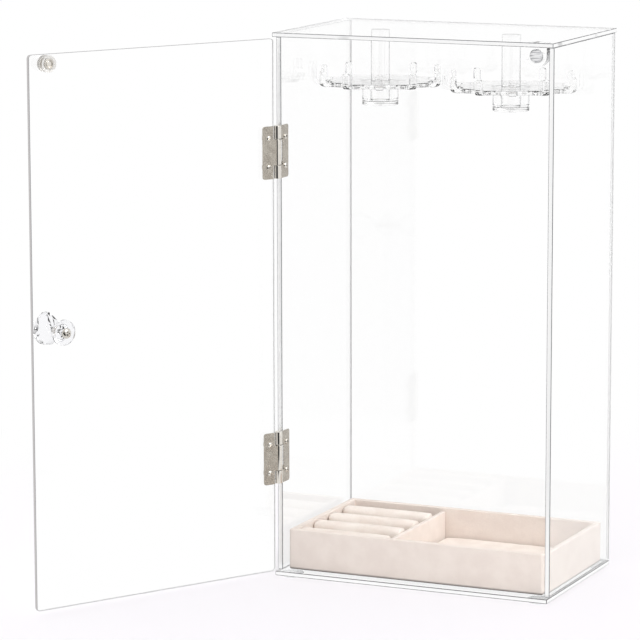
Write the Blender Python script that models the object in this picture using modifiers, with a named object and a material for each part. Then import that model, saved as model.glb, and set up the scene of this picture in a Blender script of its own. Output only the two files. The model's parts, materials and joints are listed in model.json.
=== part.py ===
"""Rotating jewelry stand: a clear acrylic case with a hinged door, two turning hook discs and a velvet tray.

Metres, +Z up, +X to the right and +Y to the back. The origin is the centre of the base plate's underside.
The door is modelled closed under an empty on its hinge axis, and that empty turns it to its open rest place.
"""
import math

import bmesh
import bpy
from mathutils import Matrix

# Fits that every piece shares
SEAT_GAP = 0.0003
CUT_OVERRUN = 0.001
MERGE_DISTANCE = 0.00001

# Case
CASE_WIDTH = 0.202
CASE_DEPTH = 0.124
CASE_HEIGHT = 0.379
PLATE_THICKNESS = 0.003
SIDE_THICKNESS = 0.0035
BACK_THICKNESS = 0.003
TOP_OVERHANG = 0.001
EDGE_BREAK = 0.0003

# Feet
FOOT_RADIUS = 0.008
FOOT_THICKNESS = 0.0007
FOOT_CROWN = 0.0003
FOOT_INSET = 0.001

# Door
DOOR_THICKNESS = 0.003
DOOR_CLEARANCE = 0.0008
DOOR_FREE_EDGE_INSET = 0.003
DOOR_CORNER_RADIUS = 0.0025
DOOR_REST_ANGLE = math.radians(120)

# Butt hinges
HINGE_HEIGHT = 0.0364
HINGE_UPPER_DROP = 0.0787
HINGE_LOWER_RISE = 0.081
BARREL_RADIUS = 0.003
BORE_RADIUS = 0.0015
PIN_RADIUS = 0.0012
LEAF_THICKNESS = 0.001
LEAF_REACH = 0.0134
LEAF_CORNER_RADIUS = 0.0018
MIDDLE_KNUCKLE = 0.0176
PANEL_SETBACK = 0.0005

# Hinge screws and nuts
SCREW_RADIUS = 0.00125
SCREW_HEAD_RADIUS = 0.0021
SCREW_HEAD_HEIGHT = 0.0012
SCREW_TIP = 0.0006
SCREW_REACH = 0.0085
SCREW_SPACING = 0.020
NUT_CORNER_RADIUS = 0.0029
NUT_HEIGHT = 0.0018

# Knob
KNOB_EDGE_INSET = 0.0255
KNOB_HEAD_RADIUS = 0.0113
KNOB_LENGTH = 0.031
KNOB_BORE_DEPTH = 0.010
KNOB_SCREW_RADIUS = 0.0018
KNOB_SCREW_HEAD_RADIUS = 0.0035
KNOB_SCREW_HEAD_HEIGHT = 0.0017
KNOB_OUTLINE_SHARES = ((0.00, 1.00), (0.36, 1.00), (0.80, 0.90), (1.00, 0.70), (0.97, 0.61), (0.56, 0.38),
                       (0.43, 0.28), (0.46, 0.18), (0.72, 0.10), (0.76, 0.07), (0.76, 0.00), (0.00, 0.00))

# Magnetic catch
CUP_RADIUS = 0.0056
CUP_LENGTH = 0.006
CUP_FLOOR = 0.0015
CUP_EDGE_INSET = 0.0115
DOOR_MAGNET_RADIUS = 0.0035
CATCH_GAP = 0.0005
HOLDER_LENGTH = 0.0072
HOLDER_WALL = 0.0025
CASE_MAGNET_RADIUS = 0.0045

# Rods and their end caps
ROD_RADIUS = 0.0065
CAP_RADIUS = 0.0125
CAP_THICKNESS = 0.003

# Hook discs
DISC_DROP = 0.036
DISC_THICKNESS = 0.003
DISC_GAP = 0.0038
DISC_WALL_CLEARANCE = 0.0026
DISC_LOBE = 0.0035
LOBE_SHARPNESS = 4
HUB_RADIUS = 0.0125
HUB_LENGTH = 0.0107
HOOK_COUNT = 12
HOOK_FIRST_ANGLE = math.radians(22.5)
HOOK_OVERHANG = 0.0115
HOOK_LENGTH = 0.0155
HOOK_HEIGHT = 0.011
HOOK_WIDTH = 0.005
HOOK_THICKNESS = 0.0026
HOOK_BEND_RADIUS = 0.001
HOOK_TIP_ROUNDING = 0.0018

# Tray
TRAY_SIDE_CLEARANCE = 0.003
TRAY_FRONT_CLEARANCE = 0.0058
TRAY_BACK_CLEARANCE = 0.003
TRAY_HEIGHT = 0.0284
TRAY_WALL = 0.004
TRAY_FLOOR = 0.003
TRAY_CORNER_RADIUS = 0.0015
FILL_DROP = 0.0025
RING_SECTION_LENGTH = 0.0675
DIVIDER_THICKNESS = 0.0035
ROLL_COUNT = 4
RING_SLOT = 0.012
ROLL_ROUNDING = 0.004
PAD_THICKNESS = 0.005

# Fineness of round shapes
ROUND_SIDES = 32
SMALL_SIDES = 16
KNOB_SIDES = 12
NUT_SIDES = 6
BARREL_STEPS = 24
CROWN_STEPS = 3
CORNER_STEPS = 4
LOBE_STEPS = 10
SMOOTH_ANGLE = math.radians(32)

# Optics of the clear pieces
ACRYLIC_IOR = 1.49

# Places worked out from the sizes above
FRONT_Y = -CASE_DEPTH / 2
BACK_Y = CASE_DEPTH / 2
SIDE_INNER_X = CASE_WIDTH / 2 - SIDE_THICKNESS
TOP_UNDERSIDE_Z = CASE_HEIGHT - PLATE_THICKNESS
AXIS_TO_SHEET = BARREL_RADIUS - LEAF_THICKNESS - SEAT_GAP
DOOR_AXIS_X = -SIDE_INNER_X - AXIS_TO_SHEET
DOOR_AXIS_Y = FRONT_Y + DOOR_THICKNESS - AXIS_TO_SHEET
LEAF_START = BARREL_RADIUS + SEAT_GAP
DOOR_BOTTOM_Z = PLATE_THICKNESS + DOOR_CLEARANCE
DOOR_TOP_Z = TOP_UNDERSIDE_Z - DOOR_CLEARANCE
DOOR_FREE_EDGE = CASE_WIDTH / 2 - DOOR_FREE_EDGE_INSET - DOOR_AXIS_X
DOOR_OUTER = AXIS_TO_SHEET - DOOR_THICKNESS
HINGE_HEIGHTS = {"upper": TOP_UNDERSIDE_Z - HINGE_UPPER_DROP, "lower": PLATE_THICKNESS + HINGE_LOWER_RISE}
CATCH_Z = DOOR_TOP_Z - CUP_RADIUS - EDGE_BREAK
DISC_Z = TOP_UNDERSIDE_Z - DISC_DROP
CAP_TOP_Z = DISC_Z - HUB_LENGTH - SEAT_GAP
HOOK_TIP_RADIUS = (SIDE_INNER_X - DISC_WALL_CLEARANCE - DISC_GAP / 2) / 2
HOOK_ROOT_RADIUS = HOOK_TIP_RADIUS - HOOK_LENGTH
DISC_VALLEY_RADIUS = HOOK_TIP_RADIUS - HOOK_OVERHANG
ROD_OFFSET = HOOK_TIP_RADIUS + DISC_GAP / 2
TRAY_WIDTH = 2 * (SIDE_INNER_X - TRAY_SIDE_CLEARANCE)
TRAY_FRONT_Y = FRONT_Y + DOOR_THICKNESS + TRAY_FRONT_CLEARANCE
TRAY_BACK_Y = BACK_Y - BACK_THICKNESS - TRAY_BACK_CLEARANCE
TRAY_DEPTH = TRAY_BACK_Y - TRAY_FRONT_Y


def empty_scene():
    """Remove every object that the scene holds."""
    for obj in list(bpy.data.objects):
        bpy.data.objects.remove(obj, do_unlink=True)


def new_collection(name):
    """Add a collection to the scene."""
    collection = bpy.data.collections.new(name)
    bpy.context.scene.collection.children.link(collection)
    return collection


def new_material(name, colour, roughness, metallic=0.0, transmission=0.0):
    """One Principled material."""
    material = bpy.data.materials.new(name)
    material.use_nodes = True
    shader = material.node_tree.nodes["Principled BSDF"]
    shader.inputs["Base Color"].default_value = (*colour, 1.0)
    shader.inputs["Roughness"].default_value = roughness
    shader.inputs["Metallic"].default_value = metallic
    shader.inputs["Transmission Weight"].default_value = transmission
    shader.inputs["IOR"].default_value = ACRYLIC_IOR
    return material


empty_scene()
STAND = new_collection("rotating_jewelry_stand")
CUTTERS = new_collection("cutters")


def add_piece(name, mesh, location=(0, 0, 0), rotation=(0, 0, 0), parent=None, collection=STAND):
    """Put a mesh in the scene as an object of its own."""
    piece = bpy.data.objects.new(name, mesh)
    collection.objects.link(piece)
    piece.location = location
    piece.rotation_euler = rotation
    piece.parent = parent
    return piece


def dress(piece, material):
    """Give a finished piece its material."""
    piece.data.materials.append(material)
    return piece


def shade_round(mesh):
    """Smooth shading, with the sharp edges kept."""
    mesh.shade_smooth()
    mesh.set_sharp_from_angle(angle=SMOOTH_ANGLE)
    return mesh


def mesh_from(bm, name):
    """Write a bmesh into a new mesh."""
    mesh = bpy.data.meshes.new(name)
    bm.to_mesh(mesh)
    bm.free()
    return mesh


def box_mesh(name, size, rounded=None, radius=0.0):
    """A centred box, with the edges along one axis rounded where `rounded` names that axis."""
    bm = bmesh.new()
    bmesh.ops.create_cube(bm, size=1.0)
    bmesh.ops.scale(bm, vec=size, verts=bm.verts)
    if rounded is not None:
        edges = [e for e in bm.edges if e.verts[0].co[rounded] * e.verts[1].co[rounded] < 0]
        bmesh.ops.bevel(bm, geom=edges, offset=radius, offset_type="OFFSET", segments=CORNER_STEPS,
                        profile=0.5, affect="EDGES", material=-1)
    return mesh_from(bm, name)


def cylinder_mesh(name, radius, height, sides=ROUND_SIDES):
    """A centred cylinder along Z."""
    bm = bmesh.new()
    bmesh.ops.create_cone(bm, cap_ends=True, segments=sides, radius1=radius, radius2=radius, depth=height)
    return shade_round(mesh_from(bm, name))


def turned_piece(name, outline, sides=ROUND_SIDES, smooth=True, **place):
    """Turn an outline of (radius, height) points, top to bottom, about Z."""
    mesh = bpy.data.meshes.new(name)
    points = [(radius, 0, height) for radius, height in outline]
    mesh.from_pydata(points, [(i, i + 1) for i in range(len(points) - 1)], [])
    piece = add_piece(name, mesh, **place)
    screw = piece.modifiers.new("Turn", "SCREW")
    screw.steps = sides
    screw.render_steps = sides
    screw.use_merge_vertices = True
    screw.merge_threshold = MERGE_DISTANCE
    screw.use_smooth_shade = smooth
    return piece


def prism_mesh(name, outline, height):
    """Fill a flat outline and extrude it along Z, centred on the outline's plane."""
    curve = bpy.data.curves.new(name, "CURVE")
    curve.dimensions = "2D"
    curve.fill_mode = "BOTH"
    curve.extrude = height / 2
    spline = curve.splines.new("POLY")
    spline.points.add(len(outline) - 1)
    for point, (x, y) in zip(spline.points, outline):
        point.co = (x, y, 0, 1)
    spline.use_cyclic_u = True
    holder = add_piece(name, curve)
    bpy.context.view_layer.update()
    evaluated = holder.evaluated_get(bpy.context.evaluated_depsgraph_get())
    bm = bmesh.new()
    bm.from_mesh(bpy.data.meshes.new_from_object(evaluated))
    bmesh.ops.remove_doubles(bm, verts=bm.verts, dist=MERGE_DISTANCE)
    bmesh.ops.recalc_face_normals(bm, faces=bm.faces)
    bpy.data.objects.remove(holder)
    return mesh_from(bm, name)


def arc(centre, radius, start, end, steps):
    """Points on an arc, angles in degrees."""
    turns = [math.radians(start + (end - start) * i / steps) for i in range(steps + 1)]
    return [(centre[0] + radius * math.cos(a), centre[1] + radius * math.sin(a)) for a in turns]


def add_boolean(piece, other, operation):
    """Cut or join another object, which is kept as a guide in the cutters' collection."""
    for collection in list(other.users_collection):
        collection.objects.unlink(other)
    CUTTERS.objects.link(other)
    other.hide_render = True
    other.display_type = "WIRE"
    modifier = piece.modifiers.new(other.name, "BOOLEAN")
    modifier.operation = operation
    modifier.solver = "EXACT"
    modifier.object = other


def cut(piece, cutter):
    """Take the cutter's shape out of a piece."""
    add_boolean(piece, cutter, "DIFFERENCE")


def join(piece, addition):
    """Make the addition part of a piece."""
    add_boolean(piece, addition, "UNION")


def break_edges(piece):
    """The small chamfer of a sawn and polished sheet."""
    bevel = piece.modifiers.new("Edges", "BEVEL")
    bevel.width = EDGE_BREAK
    bevel.segments = 1
    bevel.limit_method = "ANGLE"
    return piece


CLEAR_SHEET = new_material("clear_acrylic_sheet", (0.95, 0.96, 0.97), 0.03, transmission=1.0)
CLEAR_MOULDED = new_material("clear_moulded_acrylic", (0.93, 0.95, 0.96), 0.05, transmission=1.0)
CLEAR_RUBBER = new_material("clear_rubber", (0.86, 0.87, 0.88), 0.35, transmission=0.7)
NICKEL = new_material("satin_nickel", (0.48, 0.46, 0.42), 0.28, metallic=1.0)
ZINC = new_material("bright_zinc", (0.62, 0.61, 0.58), 0.25, metallic=1.0)
MAGNET = new_material("magnet_metal", (0.20, 0.20, 0.21), 0.35, metallic=1.0)
VELVET = new_material("cream_velvet", (0.80, 0.72, 0.66), 0.95)


def build_case():
    """Five clear sheets: the plates lie over and under the three walls."""
    plate = box_mesh("base_plate", (CASE_WIDTH, CASE_DEPTH, PLATE_THICKNESS))
    dress(break_edges(add_piece("base_plate", plate, (0, 0, PLATE_THICKNESS / 2))), CLEAR_SHEET)
    plate = box_mesh("top_plate", (CASE_WIDTH + 2 * TOP_OVERHANG, CASE_DEPTH, PLATE_THICKNESS))
    dress(break_edges(add_piece("top_plate", plate, (0, 0, CASE_HEIGHT - PLATE_THICKNESS / 2))), CLEAR_SHEET)
    wall_height = TOP_UNDERSIDE_Z - PLATE_THICKNESS - 2 * SEAT_GAP
    wall_z = (TOP_UNDERSIDE_Z + PLATE_THICKNESS) / 2
    side_front = DOOR_AXIS_Y + BARREL_RADIUS + PANEL_SETBACK
    side_size = (SIDE_THICKNESS, BACK_Y - side_front, wall_height)
    side_x = (CASE_WIDTH - SIDE_THICKNESS) / 2
    side_y = (BACK_Y + side_front) / 2
    sides = {}
    for side, direction in (("left", -1), ("right", 1)):
        name = f"side_panel_{side}"
        sides[side] = add_piece(name, box_mesh(name, side_size), (direction * side_x, side_y, wall_z))
        dress(break_edges(sides[side]), CLEAR_SHEET)
    back_size = (2 * (SIDE_INNER_X - SEAT_GAP), BACK_THICKNESS, wall_height)
    back = add_piece("back_panel", box_mesh("back_panel", back_size), (0, BACK_Y - BACK_THICKNESS / 2, wall_z))
    dress(break_edges(back), CLEAR_SHEET)
    return sides["left"]


def build_feet():
    """Four thin round bumpers stuck under the base plate's corners."""
    reach = FOOT_RADIUS + FOOT_INSET
    top = -SEAT_GAP
    bottom = top - FOOT_THICKNESS
    crown = arc((FOOT_RADIUS - FOOT_CROWN, bottom + FOOT_CROWN), FOOT_CROWN, 0, -90, CROWN_STEPS)
    outline = [(0, top), (FOOT_RADIUS, top), *crown, (0, bottom)]
    for end, y in (("front", FRONT_Y + reach), ("back", BACK_Y - reach)):
        for side, x in (("left", reach - CASE_WIDTH / 2), ("right", CASE_WIDTH / 2 - reach)):
            dress(turned_piece(f"foot_{end}_{side}", outline, location=(x, y, 0)), CLEAR_RUBBER)


def add_door_axis():
    """The empty on the hinge axis: its own frame is the closed door's, turned to the open rest place."""
    axis = bpy.data.objects.new("door_axis", None)
    STAND.objects.link(axis)
    axis.location = (DOOR_AXIS_X, DOOR_AXIS_Y, 0)
    axis.rotation_euler = (0, 0, -DOOR_REST_ANGLE)
    return axis


def build_door(axis):
    """The clear door sheet, flush with the plates' front edges when it is closed."""
    width = DOOR_FREE_EDGE - LEAF_START
    height = DOOR_TOP_Z - DOOR_BOTTOM_Z
    mesh = box_mesh("door_panel", (width, DOOR_THICKNESS, height), rounded=1, radius=DOOR_CORNER_RADIUS)
    place = ((DOOR_FREE_EDGE + LEAF_START) / 2, DOOR_OUTER + DOOR_THICKNESS / 2, (DOOR_TOP_Z + DOOR_BOTTOM_Z) / 2)
    return dress(break_edges(add_piece("door_panel", mesh, place, parent=axis)), CLEAR_SHEET)


def leaf_outline():
    """Section of a rolled hinge leaf: a flat plate that runs tangent into its barrel."""
    plate_back = BARREL_RADIUS - LEAF_THICKNESS
    meet = math.degrees(math.asin(plate_back / BARREL_RADIUS))
    barrel = arc((0, 0), BARREL_RADIUS, meet, -270, BARREL_STEPS)
    return [(LEAF_REACH, BARREL_RADIUS), (LEAF_REACH, plate_back), *barrel]


def round_leaf_corners(mesh):
    """Round the two corners of the leaf's free edge."""
    bm = bmesh.new()
    bm.from_mesh(mesh)
    corners = [e for e in bm.edges
               if all(v.co.x > LEAF_REACH - MERGE_DISTANCE for v in e.verts)
               and abs(e.verts[0].co.z - e.verts[1].co.z) < MERGE_DISTANCE
               and abs(e.verts[0].co.z) > HINGE_HEIGHT / 2 - MERGE_DISTANCE]
    bmesh.ops.bevel(bm, geom=corners, offset=LEAF_CORNER_RADIUS, offset_type="OFFSET", segments=CORNER_STEPS,
                    profile=0.5, affect="EDGES", material=-1)
    bm.to_mesh(mesh)
    bm.free()


def build_leaf(name, knuckle_gaps, location, rotation=(0, 0, 0), parent=None):
    """A hinge leaf: the rolled section, cut away where the other leaf's knuckles turn."""
    mesh = prism_mesh(name, leaf_outline(), HINGE_HEIGHT)
    round_leaf_corners(mesh)
    place = {"location": location, "rotation": rotation, "parent": parent}
    leaf = add_piece(name, mesh, **place)
    bore = cylinder_mesh(f"{name}_bore", BORE_RADIUS, HINGE_HEIGHT + 2 * CUT_OVERRUN, SMALL_SIDES)
    cut(leaf, add_piece(f"{name}_bore", bore, **place))
    for number, (low, high) in enumerate(knuckle_gaps):
        notch_name = f"{name}_notch_{number}"
        start = -BARREL_RADIUS - CUT_OVERRUN
        notch = box_mesh(notch_name, (LEAF_START - start, -2 * start, high - low))
        notch.transform(Matrix.Translation(((LEAF_START + start) / 2, 0, (low + high) / 2)))
        cut(leaf, add_piece(notch_name, notch, **place))
    for number, height in enumerate((SCREW_SPACING / 2, -SCREW_SPACING / 2)):
        hole_name = f"{name}_hole_{number}"
        hole = cylinder_mesh(hole_name, SCREW_RADIUS + SEAT_GAP, 2 * LEAF_THICKNESS + 2 * CUT_OVERRUN, SMALL_SIDES)
        hole.transform(Matrix.Translation((SCREW_REACH, BARREL_RADIUS - LEAF_THICKNESS / 2, height))
                       @ Matrix.Rotation(math.radians(90), 4, "X"))
        cut(leaf, add_piece(hole_name, hole, **place))
    return dress(leaf, NICKEL)


def dome_screw_outline(radius, head_radius, head_height, length):
    """A screw from the crown of its head down to its tip, with the head's underside at zero height."""
    turns = [math.radians(90 * step / CORNER_STEPS) for step in range(CORNER_STEPS + 1)]
    crown = [(head_radius * math.sin(turn), head_height * math.cos(turn)) for turn in turns]
    return [*crown, (radius, 0), (radius, -length), (0, -length)]


def build_fastener(name, sheet_thickness, location, rotation, parent=None):
    """One screw through leaf and sheet, its head on the leaf, and the nut on the sheet's outer face."""
    place = {"location": location, "rotation": rotation, "parent": parent}
    seat = BARREL_RADIUS + SEAT_GAP
    nut_top = AXIS_TO_SHEET - sheet_thickness - SEAT_GAP
    length = seat - nut_top + NUT_HEIGHT + SCREW_TIP
    outline = dome_screw_outline(SCREW_RADIUS, SCREW_HEAD_RADIUS, SCREW_HEAD_HEIGHT, length)
    outline = [(radius, height + seat) for radius, height in outline]
    dress(turned_piece(f"{name}_screw", outline, SMALL_SIDES, **place), ZINC)
    middle = Matrix.Translation((0, 0, nut_top - NUT_HEIGHT / 2))
    nut_mesh = cylinder_mesh(f"{name}_nut", NUT_CORNER_RADIUS, NUT_HEIGHT, NUT_SIDES)
    nut_mesh.transform(middle)
    nut = dress(add_piece(f"{name}_nut", nut_mesh, **place), ZINC)
    bore = cylinder_mesh(f"{name}_nut_bore", SCREW_RADIUS + SEAT_GAP, NUT_HEIGHT + 2 * CUT_OVERRUN, SMALL_SIDES)
    bore.transform(middle)
    cut(nut, add_piece(f"{name}_nut_bore", bore, **place))


def drill_sheet(sheet, name, location, rotation, parent=None, radius=SCREW_RADIUS):
    """A clearance hole along the local Z through a sheet, near the hinge axis' own frame."""
    hole_name = f"{name}_hole"
    depth = 2 * (DOOR_THICKNESS + SIDE_THICKNESS)
    hole = cylinder_mesh(hole_name, radius + SEAT_GAP, depth, SMALL_SIDES)
    cut(sheet, add_piece(hole_name, hole, location, rotation, parent))


def build_hinge(end, height, axis, door, side_panel):
    """A butt hinge: the side leaf has the outer knuckles, the door leaf the middle one."""
    half = HINGE_HEIGHT / 2
    outer = half + CUT_OVERRUN
    middle = MIDDLE_KNUCKLE / 2
    door_gaps = ((middle, outer), (-outer, -middle))
    side_gaps = ((-middle - SEAT_GAP, middle + SEAT_GAP),)
    build_leaf(f"hinge_{end}_door_leaf", door_gaps, (0, 0, height), parent=axis)
    swap_x_and_y = (math.radians(180), 0, math.radians(90))
    build_leaf(f"hinge_{end}_side_leaf", side_gaps, (DOOR_AXIS_X, DOOR_AXIS_Y, height), swap_x_and_y)
    pin = cylinder_mesh(f"hinge_{end}_pin", PIN_RADIUS, HINGE_HEIGHT, SMALL_SIDES)
    dress(add_piece(f"hinge_{end}_pin", pin, (DOOR_AXIS_X, DOOR_AXIS_Y, height)), NICKEL)
    facing_back = (math.radians(-90), 0, 0)
    facing_right = (0, math.radians(90), 0)
    for place, offset in (("top", SCREW_SPACING / 2), ("bottom", -SCREW_SPACING / 2)):
        door_name = f"hinge_{end}_door_{place}"
        door_place = (SCREW_REACH, 0, height + offset)
        drill_sheet(door, door_name, door_place, facing_back, axis)
        build_fastener(door_name, DOOR_THICKNESS, door_place, facing_back, axis)
        side_name = f"hinge_{end}_side_{place}"
        side_place = (DOOR_AXIS_X, DOOR_AXIS_Y + SCREW_REACH, height + offset)
        drill_sheet(side_panel, side_name, side_place, facing_right)
        build_fastener(side_name, SIDE_THICKNESS, side_place, facing_right)


def build_knob(axis, door):
    """The faceted knob on the door's outer face, with its screw from the inner face."""
    x = DOOR_FREE_EDGE - KNOB_EDGE_INSET
    z = (DOOR_TOP_Z + DOOR_BOTTOM_Z) / 2
    facing_out = (math.radians(90), 0, 0)
    outline = [(KNOB_HEAD_RADIUS * r, KNOB_LENGTH * h) for r, h in KNOB_OUTLINE_SHARES]
    knob = turned_piece("door_knob", outline, KNOB_SIDES, smooth=False,
                        location=(x, DOOR_OUTER - SEAT_GAP, z), rotation=facing_out, parent=axis)
    bore_length = KNOB_BORE_DEPTH + CUT_OVERRUN
    bore = cylinder_mesh("door_knob_bore", KNOB_SCREW_RADIUS + SEAT_GAP, bore_length, SMALL_SIDES)
    bore_y = DOOR_OUTER - SEAT_GAP - KNOB_BORE_DEPTH + bore_length / 2
    cut(knob, add_piece("door_knob_bore", bore, (x, bore_y, z), facing_out, axis))
    dress(knob, CLEAR_MOULDED)
    facing_in = (math.radians(-90), 0, 0)
    drill_sheet(door, "knob_screw", (x, 0, z), facing_in, axis, KNOB_SCREW_RADIUS)
    length = DOOR_THICKNESS + SEAT_GAP + KNOB_BORE_DEPTH
    outline = dome_screw_outline(KNOB_SCREW_RADIUS, KNOB_SCREW_HEAD_RADIUS, KNOB_SCREW_HEAD_HEIGHT, length)
    screw = turned_piece("knob_screw", outline, SMALL_SIDES, location=(x, AXIS_TO_SHEET + SEAT_GAP, z),
                         rotation=facing_in, parent=axis)
    dress(screw, ZINC)


def build_catch(axis):
    """The magnet cup on the door's inner face, and the magnet in its clear holder under the top plate."""
    x = DOOR_FREE_EDGE - CUP_EDGE_INSET
    back = AXIS_TO_SHEET + SEAT_GAP
    facing_in = (math.radians(-90), 0, 0)
    cup_mesh = cylinder_mesh("door_magnet_cup", CUP_RADIUS, CUP_LENGTH)
    cup = add_piece("door_magnet_cup", cup_mesh, (x, back + CUP_LENGTH / 2, CATCH_Z), facing_in, axis)
    pocket_depth = CUP_LENGTH - CUP_FLOOR
    pocket = cylinder_mesh("cup_pocket", DOOR_MAGNET_RADIUS + SEAT_GAP, pocket_depth + CUT_OVERRUN)
    pocket_y = back + CUP_FLOOR + (pocket_depth + CUT_OVERRUN) / 2
    cut(cup, add_piece("cup_pocket", pocket, (x, pocket_y, CATCH_Z), facing_in, axis))
    dress(cup, CLEAR_MOULDED)
    magnet_length = pocket_depth - SEAT_GAP
    magnet = cylinder_mesh("door_magnet", DOOR_MAGNET_RADIUS, magnet_length)
    magnet_y = back + CUP_LENGTH - magnet_length / 2
    dress(add_piece("door_magnet", magnet, (x, magnet_y, CATCH_Z), facing_in, axis), MAGNET)
    case_x = DOOR_AXIS_X + x
    half_width = CASE_MAGNET_RADIUS + SEAT_GAP + HOLDER_WALL
    top = TOP_UNDERSIDE_Z - SEAT_GAP
    bottom = CATCH_Z - half_width
    case_y = DOOR_AXIS_Y + back + CUP_LENGTH + CATCH_GAP + HOLDER_LENGTH / 2
    shoulder = CATCH_Z - bottom
    outline = [(half_width, top - bottom), *reversed(arc((0, shoulder), half_width, 180, 360, SMALL_SIDES)),
               (-half_width, top - bottom)]
    holder_mesh = prism_mesh("case_magnet_holder", outline, HOLDER_LENGTH)
    holder = add_piece("case_magnet_holder", holder_mesh, (case_x, case_y, bottom), (math.radians(90), 0, 0))
    bore = cylinder_mesh("holder_bore", CASE_MAGNET_RADIUS + SEAT_GAP, HOLDER_LENGTH + 2 * CUT_OVERRUN)
    cut(holder, add_piece("holder_bore", bore, (case_x, case_y, CATCH_Z), (math.radians(90), 0, 0)))
    dress(holder, CLEAR_MOULDED)
    magnet = cylinder_mesh("case_magnet", CASE_MAGNET_RADIUS, HOLDER_LENGTH)
    dress(add_piece("case_magnet", magnet, (case_x, case_y, CATCH_Z), (math.radians(90), 0, 0)), MAGNET)


def disc_outline():
    """The disc's scalloped rim, which swells out to each hook."""
    steps = HOOK_COUNT * LOBE_STEPS
    points = []
    for step in range(steps):
        angle = math.tau * step / steps
        swell = math.cos(HOOK_COUNT * angle / 2) ** LOBE_SHARPNESS
        radius = DISC_VALLEY_RADIUS + DISC_LOBE * swell
        points.append((radius * math.cos(angle), radius * math.sin(angle)))
    return points


def hook_outline():
    """Side view of one hook: a strip that runs out and bends up, outer face towards +X."""
    outer_bend = HOOK_BEND_RADIUS + HOOK_THICKNESS
    corner = (HOOK_TIP_RADIUS - outer_bend, outer_bend)
    return [(HOOK_ROOT_RADIUS, HOOK_THICKNESS), (HOOK_ROOT_RADIUS, 0),
            *arc(corner, outer_bend, -90, 0, CORNER_STEPS),
            (HOOK_TIP_RADIUS, HOOK_HEIGHT), (HOOK_TIP_RADIUS - HOOK_THICKNESS, HOOK_HEIGHT),
            *arc(corner, HOOK_BEND_RADIUS, 0, -90, CORNER_STEPS)]


def hook_mesh(name):
    """One upright hook along +X, with its tip's corners rounded."""
    mesh = prism_mesh(name, hook_outline(), HOOK_WIDTH)
    bm = bmesh.new()
    bm.from_mesh(mesh)
    corners = [e for e in bm.edges
               if all(v.co.y > HOOK_HEIGHT - MERGE_DISTANCE for v in e.verts)
               and abs(e.verts[0].co.z - e.verts[1].co.z) < MERGE_DISTANCE]
    bmesh.ops.bevel(bm, geom=corners, offset=HOOK_TIP_ROUNDING, offset_type="OFFSET", segments=CORNER_STEPS,
                    profile=0.5, affect="EDGES", material=-1)
    bm.to_mesh(mesh)
    bm.free()
    mesh.transform(Matrix.Translation((0, 0, (DISC_THICKNESS - HOOK_THICKNESS) / 2))
                   @ Matrix.Rotation(math.radians(90), 4, "X"))
    return mesh


def build_rotor(side, x):
    """A rod under the top plate, its end cap, and the disc that turns on the rod above that cap."""
    rod_top = TOP_UNDERSIDE_Z - SEAT_GAP
    rod_bottom = CAP_TOP_Z + SEAT_GAP
    rod = cylinder_mesh(f"rod_{side}", ROD_RADIUS, rod_top - rod_bottom)
    dress(add_piece(f"rod_{side}", rod, (x, 0, (rod_top + rod_bottom) / 2)), CLEAR_MOULDED)
    cap = cylinder_mesh(f"rod_cap_{side}", CAP_RADIUS, CAP_THICKNESS)
    cap_piece = add_piece(f"rod_cap_{side}", cap, (x, 0, CAP_TOP_Z - CAP_THICKNESS / 2))
    dress(break_edges(cap_piece), CLEAR_MOULDED)
    name = f"hook_disc_{side}"
    place = {"location": (x, 0, DISC_Z), "rotation": (0, 0, HOOK_FIRST_ANGLE)}
    mesh = prism_mesh(name, disc_outline(), DISC_THICKNESS)
    mesh.transform(Matrix.Translation((0, 0, DISC_THICKNESS / 2)))
    disc = add_piece(name, shade_round(mesh), **place)
    for number in range(HOOK_COUNT):
        hook_name = f"{name}_hook_{number}"
        hook = hook_mesh(hook_name)
        hook.transform(Matrix.Rotation(math.tau * number / HOOK_COUNT, 4, "Z"))
        join(disc, add_piece(hook_name, hook, **place))
    hub = cylinder_mesh(f"{name}_hub", HUB_RADIUS, HUB_LENGTH + DISC_THICKNESS / 2)
    hub.transform(Matrix.Translation((0, 0, (DISC_THICKNESS / 2 - HUB_LENGTH) / 2)))
    join(disc, add_piece(f"{name}_hub", hub, **place))
    bore = cylinder_mesh(f"{name}_bore", ROD_RADIUS + SEAT_GAP, 2 * (HUB_LENGTH + DISC_THICKNESS))
    cut(disc, add_piece(f"{name}_bore", bore, **place))
    dress(disc, CLEAR_MOULDED)


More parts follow.
